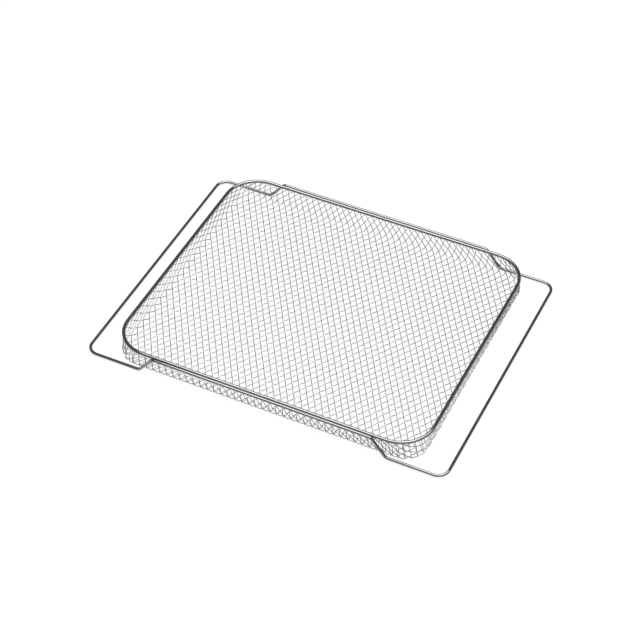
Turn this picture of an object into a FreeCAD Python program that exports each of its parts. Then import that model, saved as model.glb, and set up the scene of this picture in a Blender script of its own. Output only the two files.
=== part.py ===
import FreeCAD, Part
import math
import os

from FreeCAD import Placement, Rotation, Vector

# Wire basket for an air fryer oven, in millimetres: a woven mesh pan whose edge is held in a rolled
# steel rim, and a bent frame wire welded along the two long sides of the rim. Its two ends stand out
# past the pan as wings, which slide in the rack grooves of the oven.
# X runs along the length from wing to wing, Y across the width, and Z up. The origin is on the
# surface that the pan rests on, under the middle of its floor.

SIZES = {
    # Rim: length and width between the tube centres, corner radius in plan at the tube centre,
    # outer diameter, thickness of the strip, and height of the tube centre
    "rim_length": 340.0,
    "rim_width": 290.0,
    "rim_corner": 36.0,
    "rim_tube": 3.7,
    "rim_strip": 0.5,
    "rim_height": 24.4,
    # Mesh: diameter of its wire, which is also the thickness of its wall, and how far its edge
    # reaches past the tube centre of the rim
    "mesh_wire": 0.85,
    "mesh_in_rim": 0.6,
    # Foot of the wall: its corner radius in plan, how far it stands in from the wall's top edge,
    # and the outer radius of the bend from wall to floor, with the flats that it is drawn with
    "foot_corner": 25.0,
    "wall_draft": 1.2,
    "floor_bend": 4.5,
    "bend_steps": 4,
    # Weave: half cells from the middle to an end wall and to a long wall, and width of a strand
    "half_cell_count_long": 8,
    "half_cell_count_wide": 4,
    "strand_width": 4.5,
    # Crest of a strand where it passes over: its length, its two end slopes, how far its foot
    # stays inside the edges of the strand, and its side bevels
    "crest_length": 26.0,
    "crest_slope": 5.0,
    "crest_margin": 0.3,
    "crest_bevel": 0.5,
    # Closed band of mesh left under the rim
    "edge_band": 1.6,
    # Frame wire: diameter, distance of each wing rod from the end of the rim, centre to centre,
    # drop of the wings below the rim, and bend radius of the wing corners at the wire centre
    "frame_wire": 3.2,
    "wing_reach": 28.4,
    "wing_drop": 21.0,
    "wing_corner": 12.0,
    # Slopes of the frame wire: how far before the rim's corner they start, how far out they go
    # while they come down, and the bend radius at each end
    "slope_start": 14.0,
    "slope_run": 16.5,
    "slope_bend": 6.0,
    # Flats round the section of the frame wire and of the rim, and round the bore of the rim
    "section_flat_count": 16,
    "bore_flat_count": 8,
}

doc = FreeCAD.newDocument("air_fryer_basket")
sheet = doc.addObject("Spreadsheet::Sheet", "sizes")
for row, (alias, value) in enumerate(SIZES.items(), start=1):
    sheet.set("A" + str(row), alias)
    sheet.set("B" + str(row), str(value))
    sheet.setAlias("B" + str(row), alias)
doc.recompute()


def size(alias):
    return float(sheet.get(alias))


def bent_route(corners):
    """Closed wire through corners given as (point, bend radius), with an arc at each bend.

    The route starts at the first point, which has no bend.
    """
    edges = []
    start = corners[0][0]
    last = start
    count = len(corners)
    for place in range(1, count):
        point, radius = corners[place]
        after = corners[(place + 1) % count][0]
        back = (corners[place - 1][0] - point).normalize()
        ahead = (after - point).normalize()
        half_turn = back.getAngle(ahead) / 2
        setback = radius / math.tan(half_turn)
        bend_start = point + back * setback
        bend_end = point + ahead * setback
        middle_way = (back + ahead).normalize()
        arc_middle = point + middle_way * (radius / math.sin(half_turn) - radius)
        edges.append(Part.LineSegment(last, bend_start).toShape())
        edges.append(Part.Arc(bend_start, arc_middle, bend_end).toShape())
        last = bend_end
    edges.append(Part.LineSegment(last, start).toShape())
    return Part.Wire(edges)


def rounded_outline(length, width, corner, level):
    """Rounded rectangle about the Z axis, starting at the middle of its near side."""
    far_x = length / 2
    far_y = width / 2
    return bent_route([
        (Vector(0, -far_y, level), 0),
        (Vector(far_x, -far_y, level), corner),
        (Vector(far_x, far_y, level), corner),
        (Vector(-far_x, far_y, level), corner),
        (Vector(-far_x, -far_y, level), corner),
    ])


def add_shape(name, shape):
    feature = doc.addObject("Part::Feature", name)
    feature.Shape = shape
    return feature


def cut(name, base, tool):
    feature = doc.addObject("Part::Cut", name)
    feature.Base = base
    feature.Tool = tool
    return feature


# Mesh pan: an outer block less an inner one, each with rounded corners and a bend at the bottom
# edge. The crests of the weave stand half a wire proud of the floor on both faces, so the pan's
# underside lies that much above the rest surface. foot_corner is the corner radius of the wall's
# outer face at its foot.
half_wire = size("mesh_wire") / 2
floor_underside = half_wire
floor_middle = floor_underside + half_wire
half_length = size("rim_length") / 2 + half_wire
half_width = size("rim_width") / 2 + half_wire
top_corner = size("rim_corner") + half_wire
foot_corner = size("foot_corner") + half_wire
lip_level = size("rim_height") - size("rim_tube") / 2
edge_level = size("rim_height") + size("mesh_in_rim")


def pan_outline(inset, corner, level):
    """Outline in plan, inset from the outer face of the pan's top edge.

    corner is the radius that it would have there, with no inset.
    """
    return rounded_outline(
        2 * (half_length - inset), 2 * (half_width - inset), corner - inset, level)


def pan_block(inset, top_level):
    """Block whose sides and floor lie inset from the outer face of the pan."""
    steps = int(size("bend_steps"))
    foot = inset + size("wall_draft")
    radius = size("floor_bend") - inset
    outlines = []
    for step in range(steps + 1):
        turn = math.pi / 2 * step / steps
        rise = radius * (1 - math.cos(turn))
        reach = radius * (1 - math.sin(turn))
        outlines.append(pan_outline(
            foot + reach, foot_corner + size("wall_draft"), floor_underside + inset + rise))
    outlines.append(pan_outline(inset, top_corner, lip_level))
    outlines.append(pan_outline(inset, top_corner, top_level))
    return Part.makeLoft(outlines, True, True)


pan_outside = add_shape("pan_outside", pan_block(0, edge_level))
pan_inside = add_shape("pan_inside", pan_block(size("mesh_wire"), edge_level + size("mesh_wire")))
pan = cut("pan", pan_outside, pan_inside)

# Lattice of the weave: the strands cross at every other point of a grid, and a diamond gap lies
# about each of the points between. The grid folds up the walls from the outer edge of the floor.
# spare is how far the cutting tools reach past what they cut.
step_x = size("rim_length") / 2 / size("half_cell_count_long")
step_y = size("rim_width") / 2 / size("half_cell_count_wide")
count_x = int(size("half_cell_count_long"))
count_y = int(size("half_cell_count_wide"))
strand_angle = math.degrees(math.atan2(step_y, step_x))
strand_pitch = step_x * math.sin(math.radians(strand_angle))
gap_share = 1 - size("strand_width") / 2 / strand_pitch
band_bottom = lip_level - size("edge_band")
spare = 1.0


def is_gap(column, row):
    return (column + row) % 2 == 0


def diamond(middle, along, across):
    """Closed outline of a diamond whose half diagonals are the two vectors."""
    tips = [middle + along, middle + across, middle - along, middle - across]
    return Part.Face(Part.makePolygon(tips + tips[:1]))


def floor_gaps():
    """Upright prisms through the floor, each cut off at the middle of the bend."""
    bottom = floor_underside - spare
    height = size("floor_bend") + 2 * spare
    prisms = []
    for column in range(-count_x, count_x + 1):
        for row in range(-count_y, count_y + 1):
            if is_gap(column, row):
                middle = Vector(column * step_x, row * step_y, bottom)
                along = Vector(step_x * gap_share, 0, 0)
                across = Vector(0, step_y * gap_share, 0)
                prisms.append(diamond(middle, along, across).extrude(Vector(0, 0, height)))
    return Part.Compound(prisms)


def mitre_block():
    """Everything on the floor's side of the 45 degree mitre between floor and walls."""
    outlines = []
    for inset in (-spare, size("floor_bend") + 2 * spare):
        outlines.append(pan_outline(
            size("wall_draft") + inset, foot_corner + size("wall_draft"), floor_underside + inset))
    return Part.makeLoft(outlines, True, True)


def side_gaps(turn, reach, breadth, step_along, step_up, first_row, count_along):
    """Level prisms through the wall on the +X side, turned about Z to the wall that they cut.

    reach is the distance of that wall from the middle, and breadth is half its width.
    """
    prisms = []
    depth = size("rim_corner")
    rows_up = int((band_bottom - floor_underside) / step_up) + 1
    for row_up in range(rows_up + 1):
        for place in range(-count_along + 1, count_along):
            if is_gap(first_row + row_up, place):
                level = floor_underside + row_up * step_up
                middle = Vector(reach - depth, place * step_along, level)
                along = Vector(0, step_along * gap_share, 0)
                across = Vector(0, 0, step_up * gap_share)
                prism = diamond(middle, along, across).extrude(Vector(depth + spare, 0, 0))
                prisms.append(prism)
    # The gaps stop under the band and at a strand on the middle of each corner.
    edge = breadth - size("strand_width") / math.sqrt(2)
    plan = [
        Vector(reach - depth, edge - depth, 0),
        Vector(reach + spare, edge + spare, 0),
        Vector(reach + spare, -edge - spare, 0),
        Vector(reach - depth, depth - edge, 0),
    ]
    zone = Part.Face(Part.makePolygon(plan + plan[:1])).extrude(Vector(0, 0, band_bottom))
    gaps = Part.Compound(prisms).common(zone)
    gaps.rotate(Vector(0, 0, 0), Vector(0, 0, 1), turn)
    return gaps


floor_side = mitre_block()
wall_gaps = []
for turn in (0, 180):
    wall_gaps.append(side_gaps(turn, half_length, half_width, step_y, step_x, count_x, count_y))
for turn in (90, 270):
    wall_gaps.append(side_gaps(turn, half_width, half_length, step_x, step_y, count_y, count_x))
floor_tool = add_shape("floor_gaps", floor_gaps().common(floor_side))
wall_tool = add_shape("wall_gaps", Part.Compound(wall_gaps).cut(floor_side))
open_floor = cut("open_floor", pan, floor_tool)
open_pan = cut("open_pan", open_floor, wall_tool)

# Crests of the weave: at each crossing of the floor one strand passes over on the upper face, and
# the other shows on the underside. The two take turns from crossing to crossing, as in any plain
# weave.
def crest(strand_turn, face_turn):
    """Raised bar about the origin, with sloped ends and bevelled sides.

    It is rooted inside the floor. face_turn of 180 puts it on the floor's underside, and
    strand_turn then lays it along its strand.
    """
    end = size("crest_length") / 2
    side = size("strand_width") / 2 - size("crest_margin")
    flat_end = end - size("crest_slope")
    flat_side = side - size("crest_bevel")
    root = size("mesh_wire") / 4
    top = size("mesh_wire")
    bar = Part.makeWedge(-end, root, -side, -flat_side, -flat_end, end, top, side, flat_side, flat_end)
    bar.rotate(Vector(0, 0, 0), Vector(1, 0, 0), 90 + face_turn)
    bar.rotate(Vector(0, 0, 0), Vector(0, 0, 1), strand_turn)
    return bar


def crossing(turn_from_row, column):
    """The two crests of one crossing, about the origin."""
    over = turn_from_row if column % 2 == 0 else -turn_from_row
    return [crest(over, 0), crest(-over, 180)]


def floor_crossings():
    crests = []
    for column in range(1 - count_x, count_x):
        for row in range(1 - count_y, count_y):
            if not is_gap(column, row):
                for bar in crossing(strand_angle, column):
                    bar.translate(Vector(column * step_x, row * step_y, floor_middle))
                    crests.append(bar)
    return crests


crest_tool = add_shape("crests", Part.Compound(floor_crossings()))

mesh_basket = doc.addObject("Part::Fuse", "mesh_basket")
mesh_basket.Label = "mesh_basket"
mesh_basket.Base = open_pan
mesh_basket.Tool = crest_tool
mesh_basket.Refine = True


# Rim: a steel strip rolled into a tube that is open along its underside, where its two lips grip
# the edge of the mesh. Three sections are swept round the top of the pan: the tube, its bore, and
# the slot between the lips.
across_x = Rotation(Vector(1, 1, 1), 120)
rim_side = "-sizes.rim_width / 2"
rim_route = add_shape("rim_route", rounded_outline(
    size("rim_length"), size("rim_width"), size("rim_corner"), size("rim_height")))


def round_section(name, radius, flats, offset):
    """Section across X, with its centre at the offset along Y and at the height of the rim."""
    section = doc.addObject("Part::RegularPolygon", name)
    section.Placement = Placement(Vector(0, 0, 0), across_x)
    section.setExpression("Circumradius", radius)
    section.setExpression("Polygon", flats)
    section.setExpression("Placement.Base.y", offset)
    section.setExpression("Placement.Base.z", "sizes.rim_height")
    return section


def sweep(name, section, route):
    feature = doc.addObject("Part::Sweep", name)
    feature.Sections = [section]
    feature.Spine = (route, [])
    feature.Solid = True
    feature.Frenet = False
    return feature


tube_section = round_section("tube_section", "sizes.rim_tube / 2", "sizes.section_flat_count", rim_side)
bore_section = round_section(
    "bore_section", "sizes.rim_tube / 2 - sizes.rim_strip", "sizes.bore_flat_count", rim_side)
slot_section = doc.addObject("Part::Plane", "slot_section")
slot_section.Placement = Placement(Vector(0, 0, 0), across_x)
slot_section.setExpression("Length", "sizes.mesh_wire")
slot_section.setExpression("Width", "sizes.rim_tube / 2")
slot_section.setExpression("Placement.Base.y", rim_side + " - sizes.mesh_wire / 2")
slot_section.setExpression("Placement.Base.z", "sizes.rim_height - sizes.rim_tube / 2")

rim_tube = sweep("rim_tube", tube_section, rim_route)
rim_bore = sweep("rim_bore", bore_section, rim_route)
rim_slot = sweep("rim_slot", slot_section, rim_route)
hollow_rim = cut("hollow_rim", rim_tube, rim_bore)
rim = cut("rim", hollow_rim, rim_slot)
rim.Label = "rim"


# Frame wire: one length of round wire, bent and butt welded into a closed loop. It lies against
# the outside of the rim along both long sides, slopes down past each corner, and goes round each
# end of the pan as a wing.
def frame_corners():
    side = size("rim_width") / 2 + size("rim_tube") / 2 + size("frame_wire") / 2
    top = size("rim_height")
    low = top - size("wing_drop")
    run_end = size("rim_length") / 2 - size("rim_corner") - size("slope_start")
    slope_foot = run_end + size("slope_run")
    rod = size("rim_length") / 2 + size("wing_reach")
    bend = size("slope_bend")
    wing = size("wing_corner")
    return [
        (Vector(0, -side, top), 0),
        (Vector(run_end, -side, top), bend),
        (Vector(slope_foot, -side, low), bend),
        (Vector(rod, -side, low), wing),
        (Vector(rod, side, low), wing),
        (Vector(slope_foot, side, low), bend),
        (Vector(run_end, side, top), bend),
        (Vector(-run_end, side, top), bend),
        (Vector(-slope_foot, side, low), bend),
        (Vector(-rod, side, low), wing),
        (Vector(-rod, -side, low), wing),
        (Vector(-slope_foot, -side, low), bend),
        (Vector(-run_end, -side, top), bend),
    ]


frame_route = add_shape("frame_route", bent_route(frame_corners()))

frame_section = round_section(
    "frame_section", "sizes.frame_wire / 2", "sizes.section_flat_count",
    "-(sizes.rim_width + sizes.rim_tube + sizes.frame_wire) / 2")
frame_wire = sweep("frame_wire", frame_section, frame_route)
frame_wire.Label = "frame_wire"

doc.recompute()

for item in doc.Objects:
    if "Invalid" in item.State or "Error" in item.State:
        raise RuntimeError(item.Name + " failed to build")

os.makedirs("parts", exist_ok=True)
for piece in (mesh_basket, rim, frame_wire):
    shape = piece.Shape
    if shape.isNull() or not shape.isValid():
        raise RuntimeError(piece.Label + " has no valid shape")
    shape.exportStep("parts/" + piece.Label + ".step")
    box = shape.BoundBox
    print(piece.Label, len(shape.Solids), "solid", round(shape.Volume, 1), "mm3",
          "x", round(box.XMin, 2), round(box.XMax, 2),
          "y", round(box.YMin, 2), round(box.YMax, 2),
          "z", round(box.ZMin, 2), round(box.ZMax, 2))
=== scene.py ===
import math

import bpy
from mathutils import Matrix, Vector


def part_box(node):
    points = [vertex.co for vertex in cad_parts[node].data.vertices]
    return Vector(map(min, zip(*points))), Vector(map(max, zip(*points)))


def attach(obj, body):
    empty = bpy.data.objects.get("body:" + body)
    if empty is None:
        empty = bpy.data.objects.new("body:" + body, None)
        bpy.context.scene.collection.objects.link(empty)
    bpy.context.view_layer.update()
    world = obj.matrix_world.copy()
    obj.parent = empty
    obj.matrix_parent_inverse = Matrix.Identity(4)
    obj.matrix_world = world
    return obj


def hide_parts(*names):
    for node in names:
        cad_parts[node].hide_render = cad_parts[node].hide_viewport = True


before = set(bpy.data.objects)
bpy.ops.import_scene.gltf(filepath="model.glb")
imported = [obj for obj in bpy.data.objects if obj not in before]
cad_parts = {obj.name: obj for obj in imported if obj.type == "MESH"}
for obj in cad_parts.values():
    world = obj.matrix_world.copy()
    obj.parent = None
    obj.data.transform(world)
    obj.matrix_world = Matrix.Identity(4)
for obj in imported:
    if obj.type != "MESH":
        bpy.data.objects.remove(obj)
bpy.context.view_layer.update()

bl_info = {
    "name": "Wire Basket",
    "version": (1, 0, 0),
    "blender": (4, 5, 0),
    "location": "3D View > Sidebar > Basket",
    "description": "Woven wire basket for an air fryer oven, with its rolled rim and frame wire",
    "category": "Add Mesh",
}

MM = 0.001
MESH_LOW, MESH_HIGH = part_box("mesh_basket")
RIM_LOW, RIM_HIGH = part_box("rim")
WIRE_LOW, WIRE_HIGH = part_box("frame_wire")

# Tubes and wires
TURN_STEP = math.radians(6)
FEWEST_TURN_STEPS = 4
WELD_GAP = 0.02 * MM
LIP_EDGE_ANGLE = math.radians(40)
WEAVE_ROUNDNESS = 2
# Least share of the painted highlight on the walls of the woven mesh
WALL_HIGHLIGHT_SHARE = 0.4

# Fine marks in the steel
MARK_STRENGTH = 0.12
MARK_DEPTH = 0.02 * MM
SMOOTHEST_MARK = 0.8
ROUGHEST_MARK = 1.25

# The Mix node has sockets of one name for each kind of value, so those for colours go by number.
MIX_FACTOR, MIX_A, MIX_B = 0, 6, 7
MIX_RESULT = 2

# The stage, in metres
FLOOR_SIZE = 12
PAPER_GLOW = 0.92
BOX_CENTRE = (0.2, 0.03, 1.5)
BOX_LENGTH = 2.0
BOX_WIDTH = 1.7
TENT_SIZE = 5
TENT_SIDES = 48
TENT_LIFT = 0.01
CAMERA_PLACE = (0.6059, -1.2739, 1.3975)
CAMERA_TURN = (math.radians(45.26), 0, math.radians(25.62))
CAMERA_CLIP = 0.05
SENSOR_MM = 36


def linear(hex_colour):
    """An sRGB hex colour as the linear colour that the shaders use."""
    channels = []
    for place in (0, 2, 4):
        value = int(hex_colour[place:place + 2], 16) / 255
        channels.append(value / 12.92 if value <= 0.04045 else ((value + 0.055) / 1.055) ** 2.4)
    return (*channels, 1.0)


# Sizes and colours that a user would change

class BASKET_PG_rim(bpy.types.PropertyGroup):
    tube: bpy.props.FloatProperty(
        name="Tube", description="Outer diameter of the rolled rim",
        default=3.7 * MM, unit="LENGTH", precision=5)
    strip: bpy.props.FloatProperty(
        name="Strip", description="Thickness of the strip that the rim is rolled from",
        default=0.5 * MM, unit="LENGTH", precision=5)
    corner: bpy.props.FloatProperty(
        name="Corner radius", description="Corner radius in plan, at the tube's centre",
        default=36 * MM, unit="LENGTH")
    slot: bpy.props.FloatProperty(
        name="Lip slot", description="Angle left open under the tube, where the lips grip the mesh",
        default=math.radians(34), subtype="ANGLE")
    sides: bpy.props.IntProperty(
        name="Sides", description="Flats round the tube's section", default=32, min=12)


class BASKET_PG_weave(bpy.types.PropertyGroup):
    wire: bpy.props.FloatProperty(
        name="Wire", description="Diameter of the woven wire",
        default=0.85 * MM, unit="LENGTH", precision=5)
    crimp: bpy.props.FloatProperty(
        name="Crimp", description="How far a wire swings to each side of the sheet",
        default=0.42 * MM, unit="LENGTH", precision=5)
    diamond_along: bpy.props.FloatProperty(
        name="Diamond along", description="Diagonal of one diamond opening along the basket",
        default=7.75 * MM, unit="LENGTH", precision=5)
    diamond_across: bpy.props.FloatProperty(
        name="Diamond across", description="Diagonal of one diamond opening across the basket",
        default=12.4 * MM, unit="LENGTH", precision=5)
    bend: bpy.props.FloatProperty(
        name="Bottom bend", description="Radius of the bend from floor to wall, at mid wall",
        default=4.08 * MM, unit="LENGTH", precision=5)
    foot_corner: bpy.props.FloatProperty(
        name="Foot corner", description="Corner radius in plan at the foot of the wall",
        default=25 * MM, unit="LENGTH")
    draft: bpy.props.FloatProperty(
        name="Draft", description="How far the foot of the wall stands in from its top edge",
        default=1.2 * MM, unit="LENGTH", precision=5)
    steps: bpy.props.IntProperty(
        name="Steps", description="Points along a wire from one crossing to the next",
        default=3, min=2)


class BASKET_PG_frame(bpy.types.PropertyGroup):
    wire: bpy.props.FloatProperty(
        name="Wire", description="Diameter of the frame wire",
        default=3.2 * MM, unit="LENGTH", precision=5)
    wing_corner: bpy.props.FloatProperty(
        name="Wing corner", description="Bend radius at the corners of the wings",
        default=12 * MM, unit="LENGTH")
    slope_start: bpy.props.FloatProperty(
        name="Slope start", description="Distance of the upper bend from the middle of the basket",
        default=120 * MM, unit="LENGTH")
    slope_run: bpy.props.FloatProperty(
        name="Slope run", description="How far out the wire goes while it slopes down",
        default=16.5 * MM, unit="LENGTH")
    slope_bend: bpy.props.FloatProperty(
        name="Slope bend", description="Bend radius at each end of a slope",
        default=6 * MM, unit="LENGTH")
    sides: bpy.props.IntProperty(
        name="Sides", description="Flats round the wire", default=24, min=8)


class BASKET_PG_stage(bpy.types.PropertyGroup):
    floor: bpy.props.FloatVectorProperty(
        name="Floor", description="Colour of the floor and backdrop", subtype="COLOR", size=4,
        default=linear("ffffff"), min=0, max=1)
    room: bpy.props.FloatProperty(
        name="Room light", description="Strength of the soft light from the cloth all round",
        default=0.22)
    overhead: bpy.props.FloatProperty(
        name="Overhead light", description="Power of the soft box over the basket",
        default=48, unit="POWER")
    lens: bpy.props.FloatProperty(
        name="Lens", description="Focal length of the camera", default=107.4, unit="CAMERA")


# Tools for the mesh work

def clear_selection():
    """Leaves nothing selected, in object mode."""
    if bpy.context.object and bpy.context.object.mode != "OBJECT":
        bpy.ops.object.mode_set(mode="OBJECT")
    bpy.ops.object.select_all(action="DESELECT")


def only(piece):
    """Makes the piece the one object that the operators act on."""
    clear_selection()
    piece.select_set(True)
    bpy.context.view_layer.objects.active = piece


def start_tube(name, sides, radius, centre):
    """Adds a tube's section, a circle that faces along the basket, with none of it selected."""
    clear_selection()
    bpy.ops.mesh.primitive_circle_add(
        vertices=sides, radius=radius, location=centre, rotation=(0, math.pi / 2, 0))
    piece = bpy.context.object
    piece.name = name
    piece.data.name = name
    bpy.ops.object.mode_set(mode="EDIT")
    bpy.ops.mesh.select_all(action="DESELECT")
    bpy.ops.object.mode_set(mode="OBJECT")
    bpy.ops.object.transform_apply(location=True, rotation=True, scale=True)
    return piece


def run_along(route):
    """Extrudes the active piece's section round a closed route of (corner, bend radius) points.

    The section stands at the route's first point, which has no bend. Straight runs are extruded and
    bends are spun, and the last run meets the section where it began.
    """
    bpy.ops.object.mode_set(mode="EDIT")
    bpy.ops.mesh.select_all(action="SELECT")
    here = route[0][0]
    for place in range(1, len(route)):
        corner, radius = route[place]
        after = route[(place + 1) % len(route)][0]
        arriving = (corner - route[place - 1][0]).normalized()
        leaving = (after - corner).normalized()
        turn = arriving.angle(leaving)
        setback = radius * math.tan(turn / 2)
        bend_start = corner - arriving * setback
        axis = arriving.cross(leaving).normalized()
        centre = bend_start + axis.cross(arriving) * radius
        steps = max(FEWEST_TURN_STEPS, round(turn / TURN_STEP))
        bpy.ops.mesh.extrude_region_move(TRANSFORM_OT_translate={"value": bend_start - here})
        bpy.ops.mesh.spin(steps=steps, angle=-turn, center=centre, axis=axis)
        here = corner + leaving * setback
    bpy.ops.mesh.extrude_region_move(TRANSFORM_OT_translate={"value": route[0][0] - here})


def close_tube():
    """Welds the end of the active tube to its start and turns every face outwards."""
    bpy.ops.mesh.select_all(action="SELECT")
    bpy.ops.mesh.remove_doubles(threshold=WELD_GAP)
    bpy.ops.mesh.normals_make_consistent(inside=False)
    bpy.ops.object.mode_set(mode="OBJECT")
    bpy.ops.object.shade_smooth()


def finish_piece(piece, node, material):
    """Gives the piece its material, hangs it under the root body and hides the solid that it
    replaces.
    """
    piece.data.materials.clear()
    piece.data.materials.append(material)
    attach(piece, "root")
    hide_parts(node)


# Materials

def add_node(owner, kind, settings=(), links=()):
    """Adds one node, with its settings and values, and links its inputs to other nodes' outputs."""
    tree = owner.node_tree
    node = tree.nodes.new(kind)
    for name, value in settings:
        if isinstance(name, int) or name in node.inputs:
            node.inputs[name].default_value = value
        else:
            setattr(node, name, value)
    for name, source in links:
        tree.links.new(source, node.inputs[name])
    return node


def emptied(owner):
    """Clears the nodes of a new material or world, so that the script adds them all."""
    owner.use_nodes = True
    owner.node_tree.nodes.clear()
    return owner


def seen_mask(owner):
    """1 where a thing is seen, by the camera, in a reflection or through something, and else 0."""
    ray = add_node(owner, "ShaderNodeLightPath")
    mask = ray.outputs["Is Camera Ray"]
    for kind in ("Is Glossy Ray", "Is Transmission Ray"):
        larger = add_node(
            owner, "ShaderNodeMath", [("operation", "MAXIMUM")],
            [(0, mask), (1, ray.outputs[kind])])
        mask = larger.outputs[0]
    return mask


def steel(name, base, worn, roughness, grain, marks, highlight_colour=None):
    """Stainless steel with drawing or rolling marks: base and worn are its two tones.

    grain is the size of its tonal patches and marks that of its fine marks, both in metres.
    The last colour is a painted highlight, which a per-vertex attribute mixes in at the wires'
    crossings and along the walls.
    """
    material = emptied(bpy.data.materials.new(name))
    place = add_node(material, "ShaderNodeTexCoord")
    patches = add_node(
        material, "ShaderNodeTexNoise", [("Scale", 1 / grain), ("Detail", 3.0)],
        [("Vector", place.outputs["Object"])])
    lines = add_node(
        material, "ShaderNodeTexNoise", [("Scale", 1 / marks), ("Detail", 2.0)],
        [("Vector", place.outputs["Object"])])
    tone = add_node(
        material, "ShaderNodeMix",
        [("data_type", "RGBA"), (MIX_A, linear(base)), (MIX_B, linear(worn))],
        [(MIX_FACTOR, patches.outputs[0])])
    # Painted highlight: a lighter colour mixed in by the wire's per-vertex attribute, at crossings
    # and on the walls.
    if highlight_colour:
        painted_highlight = add_node(material, "ShaderNodeAttribute", [("attribute_name", "painted_highlight")])
        tone = add_node(
            material, "ShaderNodeMix", [("data_type", "RGBA"), (MIX_B, linear(highlight_colour))],
            [(MIX_FACTOR, painted_highlight.outputs["Fac"]), (MIX_A, tone.outputs[MIX_RESULT])])
    gloss = add_node(
        material, "ShaderNodeMapRange",
        [("To Min", roughness * SMOOTHEST_MARK), ("To Max", roughness * ROUGHEST_MARK)],
        [("Value", lines.outputs[0])])
    bump = add_node(
        material, "ShaderNodeBump", [("Strength", MARK_STRENGTH), ("Distance", MARK_DEPTH)],
        [("Height", lines.outputs[0])])
    surface = add_node(
        material, "ShaderNodeBsdfPrincipled", [("Metallic", 1.0)],
        [("Base Color", tone.outputs[MIX_RESULT]), ("Roughness", gloss.outputs["Result"]),
         ("Normal", bump.outputs["Normal"])])
    add_node(
        material, "ShaderNodeOutputMaterial", [], [("Surface", surface.outputs["BSDF"])])
    return material


def drawn_wire():
    # Stainless steel wire drawn through a die, then woven and pressed: a mid grey metal with a
    # soft sheen, and a painted highlight in light grey where the wires cross and all up the walls.
    return steel(
        "drawn_stainless_wire", base="757574", worn="666766", roughness=0.14,
        grain=9 * MM, marks=0.6 * MM, highlight_colour="bcbcba")


def rolled_strip():
    # Stainless steel strip, cold rolled and then closed round the mesh: a lighter grey than the
    # wire's, with faint marks from the closing rolls.
    return steel(
        "rolled_stainless_strip", base="8a8a89", worn="7b7b7a", roughness=0.12,
        grain=30 * MM, marks=1.2 * MM)


def polished_wire():
    # Stainless steel rod, electropolished after it is welded: the strip's grey, more even, and the
    # sharpest reflections of the three.
    return steel(
        "polished_stainless_rod", base="8a8a89", worn="7e7e7d", roughness=0.1,
        grain=40 * MM, marks=1.5 * MM)


def within(value, limit):
    """The value, kept between minus and plus the limit."""
    return max(-limit, min(limit, value))


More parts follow.
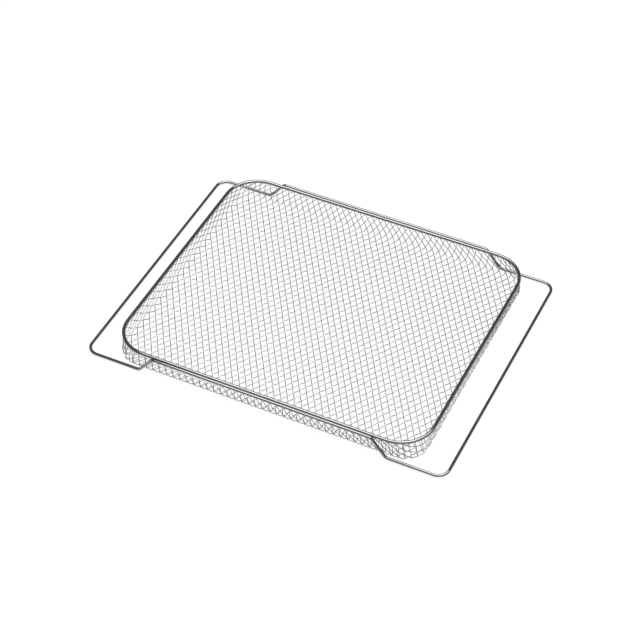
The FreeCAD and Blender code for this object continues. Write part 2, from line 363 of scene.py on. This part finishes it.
class BASKET_OT_weave(bpy.types.Operator):
    """Weaves the mesh of the basket as crimped round wires and folds it up at the edges"""
    bl_idname = "basket.weave"
    bl_label = "Woven mesh"

    def execute(self, context):
        sizes = context.scene.basket_weave
        rim = context.scene.basket_rim
        wall_x = RIM_HIGH.x - rim.tube / 2
        wall_y = RIM_HIGH.y - rim.tube / 2
        bend = sizes.bend
        middle_level = sizes.wire
        foot_level = middle_level + bend
        wall_height = RIM_LOW.z - foot_level
        floor_corner = sizes.foot_corner - bend
        straight_x = wall_x - sizes.draft - sizes.foot_corner
        straight_y = wall_y - sizes.draft - sizes.foot_corner
        narrowed_x = (wall_x - rim.corner) / straight_x
        narrowed_y = (wall_y - rim.corner) / straight_y
        bend_length = bend * math.pi / 2
        reach = bend_length + MESH_HIGH.z - foot_level

        def off_floor(u, v):
            """Distance of a sheet point from the floor's edge, and the way out there."""
            out_x = max(abs(u) - straight_x, 0)
            out_y = max(abs(v) - straight_y, 0)
            away = math.hypot(out_x, out_y)
            if away <= floor_corner:
                return 0, Vector((0, 0, 0))
            way = Vector((math.copysign(out_x, u), math.copysign(out_y, v), 0)) / away
            return away - floor_corner, way

        def fold(u, v):
            """Place and upward or inward normal on the pan for a point of the flat sheet."""
            past, way = off_floor(u, v)
            if past == 0:
                return Vector((u, v, middle_level)), Vector((0, 0, 1))
            turn = min(past / bend, math.pi / 2)
            up = max(past - bend_length, 0)
            # The wall leans out: its corners' centres draw in as their radius grows with height.
            share = min(up / wall_height, 1)
            hub_x = within(u, straight_x) * (1 + (narrowed_x - 1) * share)
            hub_y = within(v, straight_y) * (1 + (narrowed_y - 1) * share)
            out = floor_corner + bend * math.sin(turn) + (rim.corner - sizes.foot_corner) * share
            point = Vector((hub_x, hub_y, 0)) + way * out
            point.z = middle_level + bend * (1 - math.cos(turn)) + up
            return point, Vector((0, 0, math.cos(turn))) - way * math.sin(turn)

        def painted_highlight_at(point):
            """Weight of the painted highlight at a vertex: 1 on a crossing of its wire, 0 half way
            to the next.
            """
            hub_x = within(point.x, straight_x)
            hub_y = within(point.y, straight_y)
            away = math.hypot(point.x - hub_x, point.y - hub_y)
            v = point.y
            if away > floor_corner:
                rise = max(point.z - middle_level, 0)
                past = bend_length + rise - bend
                if rise < bend:
                    past = bend * math.acos(1 - rise / bend)
                v = hub_y + (point.y - hub_y) / away * (floor_corner + past)
            near = (1 + math.cos(2 * math.pi * (v - middle.y) / half.y)) / 2
            # The walls carry a painted highlight all along, never below a set share of the full
            # one.
            return near if point.z < foot_level else WALL_HIGHLIGHT_SHARE + (1 - WALL_HIGHLIGHT_SHARE) * near

        half = Vector((sizes.diamond_along / 2, sizes.diamond_across / 2))
        # The photographed weave lies this far off the basket's own middle.
        middle = half / 2
        count = int(2 * (wall_x + reach) / half.x)
        for name, lean in (("warp_wires", 1), ("weft_wires", -1)):
            along = Vector((half.x * lean, half.y))
            curve = bpy.data.curves.new(name, "CURVE")
            curve.dimensions = "3D"
            curve.bevel_depth = sizes.wire / 2
            curve.bevel_resolution = WEAVE_ROUNDNESS
            curve.use_fill_caps = True
            for wire in range(-count, count + 1):
                start = middle + Vector((wire * sizes.diamond_along, 0))
                inside = []
                for place in range(-count * sizes.steps, count * sizes.steps + 1):
                    step = place / sizes.steps
                    u, v = start + along * step
                    if off_floor(u, v)[0] <= reach:
                        inside.append(step)
                # A wire that would cut a corner off shorter than two diamonds is left out.
                if len(inside) < 2 * sizes.steps:
                    continue
                line = curve.splines.new("POLY")
                line.points.add(len(inside) - 1)
                for place, step in enumerate(inside):
                    point, normal = fold(*(start + along * step))
                    # The other family's wires cross at every whole step, over and under in turn.
                    swing = sizes.crimp * math.cos(math.pi * step) * lean
                    line.points[place].co = (*(point + normal * swing), 1)
            wires = bpy.data.objects.new(name, curve)
            context.collection.objects.link(wires)
            only(wires)
            bpy.ops.object.convert(target="MESH")
            wires = bpy.context.object
            bpy.ops.object.shade_smooth()
            # Painted highlight, stored per vertex for the wire material to mix in.
            painted_highlight_layer = wires.data.attributes.new("painted_highlight", "FLOAT", "POINT")
            painted_highlight_layer.data.foreach_set("value", [painted_highlight_at(v.co) for v in wires.data.vertices])
            finish_piece(wires, "mesh_basket", drawn_wire())
        return {"FINISHED"}


class BASKET_OT_rim(bpy.types.Operator):
    """Rolls the steel strip round the top edge of the mesh"""
    bl_idname = "basket.rim"
    bl_label = "Rolled rim"

    def execute(self, context):
        sizes = context.scene.basket_rim
        radius = sizes.tube / 2
        far_x = RIM_HIGH.x - radius
        far_y = RIM_HIGH.y - radius
        level = RIM_HIGH.z - radius
        rim = start_tube("rolled_rim", sizes.sides, radius, (0, -far_y, level))
        # The lowest points of the section go, which leaves the slot between the two lips.
        for vertex in rim.data.vertices:
            below = level - vertex.co.z
            vertex.select = below > radius * math.cos(sizes.slot / 2)
        bpy.ops.object.mode_set(mode="EDIT")
        bpy.ops.mesh.delete(type="VERT")
        run_along([
            (Vector((0, -far_y, level)), 0),
            (Vector((far_x, -far_y, level)), sizes.corner),
            (Vector((far_x, far_y, level)), sizes.corner),
            (Vector((-far_x, far_y, level)), sizes.corner),
            (Vector((-far_x, -far_y, level)), sizes.corner),
        ])
        close_tube()
        wall = rim.modifiers.new("strip", "SOLIDIFY")
        wall.thickness = sizes.strip
        wall.offset = -1
        wall.use_even_offset = True
        bpy.ops.object.modifier_apply(modifier="strip")
        bpy.ops.object.shade_smooth_by_angle(angle=LIP_EDGE_ANGLE)
        finish_piece(rim, "rim", rolled_strip())
        return {"FINISHED"}


class BASKET_OT_frame_wire(bpy.types.Operator):
    """Bends the frame wire round the basket, with a wing at each end"""
    bl_idname = "basket.frame_wire"
    bl_label = "Frame wire"

    def execute(self, context):
        sizes = context.scene.basket_frame
        radius = sizes.wire / 2
        side = WIRE_HIGH.y - radius
        rod = WIRE_HIGH.x - radius
        top = WIRE_HIGH.z - radius
        low = WIRE_LOW.z + radius
        run_end = sizes.slope_start
        foot = run_end + sizes.slope_run
        bend = sizes.slope_bend
        wing = sizes.wing_corner
        wire = start_tube("frame_rod", sizes.sides, radius, (0, -side, top))
        run_along([
            (Vector((0, -side, top)), 0),
            (Vector((run_end, -side, top)), bend),
            (Vector((foot, -side, low)), bend),
            (Vector((rod, -side, low)), wing),
            (Vector((rod, side, low)), wing),
            (Vector((foot, side, low)), bend),
            (Vector((run_end, side, top)), bend),
            (Vector((-run_end, side, top)), bend),
            (Vector((-foot, side, low)), bend),
            (Vector((-rod, side, low)), wing),
            (Vector((-rod, -side, low)), wing),
            (Vector((-foot, -side, low)), bend),
            (Vector((-run_end, -side, top)), bend),
        ])
        close_tube()
        finish_piece(wire, "frame_wire", polished_wire())
        return {"FINISHED"}


class BASKET_OT_stage(bpy.types.Operator):
    """Adds the white floor, the soft lights and the camera"""
    bl_idname = "basket.stage"
    bl_label = "Stage"

    def execute(self, context):
        sizes = context.scene.basket_stage
        colour = tuple(sizes.floor)
        clear_selection()
        bpy.ops.mesh.primitive_plane_add(size=FLOOR_SIZE, location=(0, 0, 0))
        floor = bpy.context.object
        floor.name = "floor"
        # Paper that glows where it is seen, so that it stays white. Its diffuse part keeps the
        # basket's shadow.
        paper = emptied(bpy.data.materials.new("white_paper"))
        share = add_node(
            paper, "ShaderNodeMath", [("operation", "MULTIPLY"), (1, PAPER_GLOW)],
            [(0, seen_mask(paper))])
        sheet = add_node(paper, "ShaderNodeBsdfDiffuse", [("Color", colour)])
        glow = add_node(paper, "ShaderNodeEmission", [("Color", colour), ("Strength", 1.0)])
        mix = add_node(
            paper, "ShaderNodeMixShader", [],
            [("Fac", share.outputs[0]), (1, sheet.outputs[0]), (2, glow.outputs[0])])
        add_node(paper, "ShaderNodeOutputMaterial", [], [("Surface", mix.outputs[0])])
        floor.data.materials.append(paper)

        world = emptied(bpy.data.worlds.new("studio"))
        context.scene.world = world
        strength = add_node(
            world, "ShaderNodeMapRange", [("To Min", sizes.room), ("To Max", 1.0)],
            [("Value", seen_mask(world))])
        glow = add_node(
            world, "ShaderNodeBackground", [("Color", colour)],
            [("Strength", strength.outputs["Result"])])
        add_node(world, "ShaderNodeOutputWorld", [], [("Surface", glow.outputs[0])])

        clear_selection()
        bpy.ops.object.light_add(type="AREA", location=BOX_CENTRE)
        box = bpy.context.object
        box.name = "overhead_box"
        box.data.shape = "RECTANGLE"
        box.data.size = BOX_LENGTH
        box.data.size_y = BOX_WIDTH
        box.data.energy = sizes.overhead
        box.visible_camera = False

        # A tent of grey cloth stands round the table and the lights, as a photographer hangs it
        # round shiny wire so that its edges show against white paper.
        bpy.ops.mesh.primitive_cone_add(
            vertices=TENT_SIDES, radius1=TENT_SIZE, radius2=0, depth=TENT_SIZE,
            end_fill_type="NOTHING", location=(0, 0, TENT_SIZE / 2 + TENT_LIFT))
        tent = bpy.context.object
        tent.name = "grey_tent"
        cloth = emptied(bpy.data.materials.new("grey_cloth"))
        dim = add_node(
            cloth, "ShaderNodeEmission", [("Color", colour), ("Strength", sizes.room)])
        add_node(cloth, "ShaderNodeOutputMaterial", [], [("Surface", dim.outputs[0])])
        tent.data.materials.append(cloth)
        tent.visible_camera = False

        bpy.ops.object.camera_add(location=CAMERA_PLACE, rotation=CAMERA_TURN)
        camera = bpy.context.object
        camera.name = "camera"
        camera.data.lens = sizes.lens
        camera.data.sensor_width = SENSOR_MM
        camera.data.clip_start = CAMERA_CLIP
        context.scene.camera = camera
        context.scene.view_settings.view_transform = "Standard"
        return {"FINISHED"}


class BASKET_PT_panel(bpy.types.Panel):
    bl_idname = "BASKET_PT_panel"
    bl_label = "Wire Basket"
    bl_space_type = "VIEW_3D"
    bl_region_type = "UI"
    bl_category = "Basket"

    def draw(self, context):
        layout = self.layout
        for group, operator in PANEL_ROWS:
            column = layout.column(align=True)
            settings = getattr(context.scene, group)
            for name in settings.bl_rna.properties.keys():
                if name not in ("rna_type", "name"):
                    column.prop(settings, name)
            column.operator(operator)


PANEL_ROWS = (
    ("basket_weave", "basket.weave"),
    ("basket_rim", "basket.rim"),
    ("basket_frame", "basket.frame_wire"),
    ("basket_stage", "basket.stage"),
)
GROUPS = (
    ("basket_weave", BASKET_PG_weave),
    ("basket_rim", BASKET_PG_rim),
    ("basket_frame", BASKET_PG_frame),
    ("basket_stage", BASKET_PG_stage),
)
OPERATORS = (BASKET_OT_weave, BASKET_OT_rim, BASKET_OT_frame_wire, BASKET_OT_stage)


def register():
    for name, group in GROUPS:
        bpy.utils.register_class(group)
        setattr(bpy.types.Scene, name, bpy.props.PointerProperty(type=group))
    for operator in OPERATORS:
        bpy.utils.register_class(operator)
    bpy.utils.register_class(BASKET_PT_panel)


def unregister():
    bpy.utils.unregister_class(BASKET_PT_panel)
    for operator in reversed(OPERATORS):
        bpy.utils.unregister_class(operator)
    for name, group in reversed(GROUPS):
        delattr(bpy.types.Scene, name)
        bpy.utils.unregister_class(group)


def main():
    register()
    bpy.ops.basket.weave()
    bpy.ops.basket.rim()
    bpy.ops.basket.frame_wire()
    bpy.ops.basket.stage()
    bpy.context.view_layer.update()


if __name__ == "__main__":
    main()
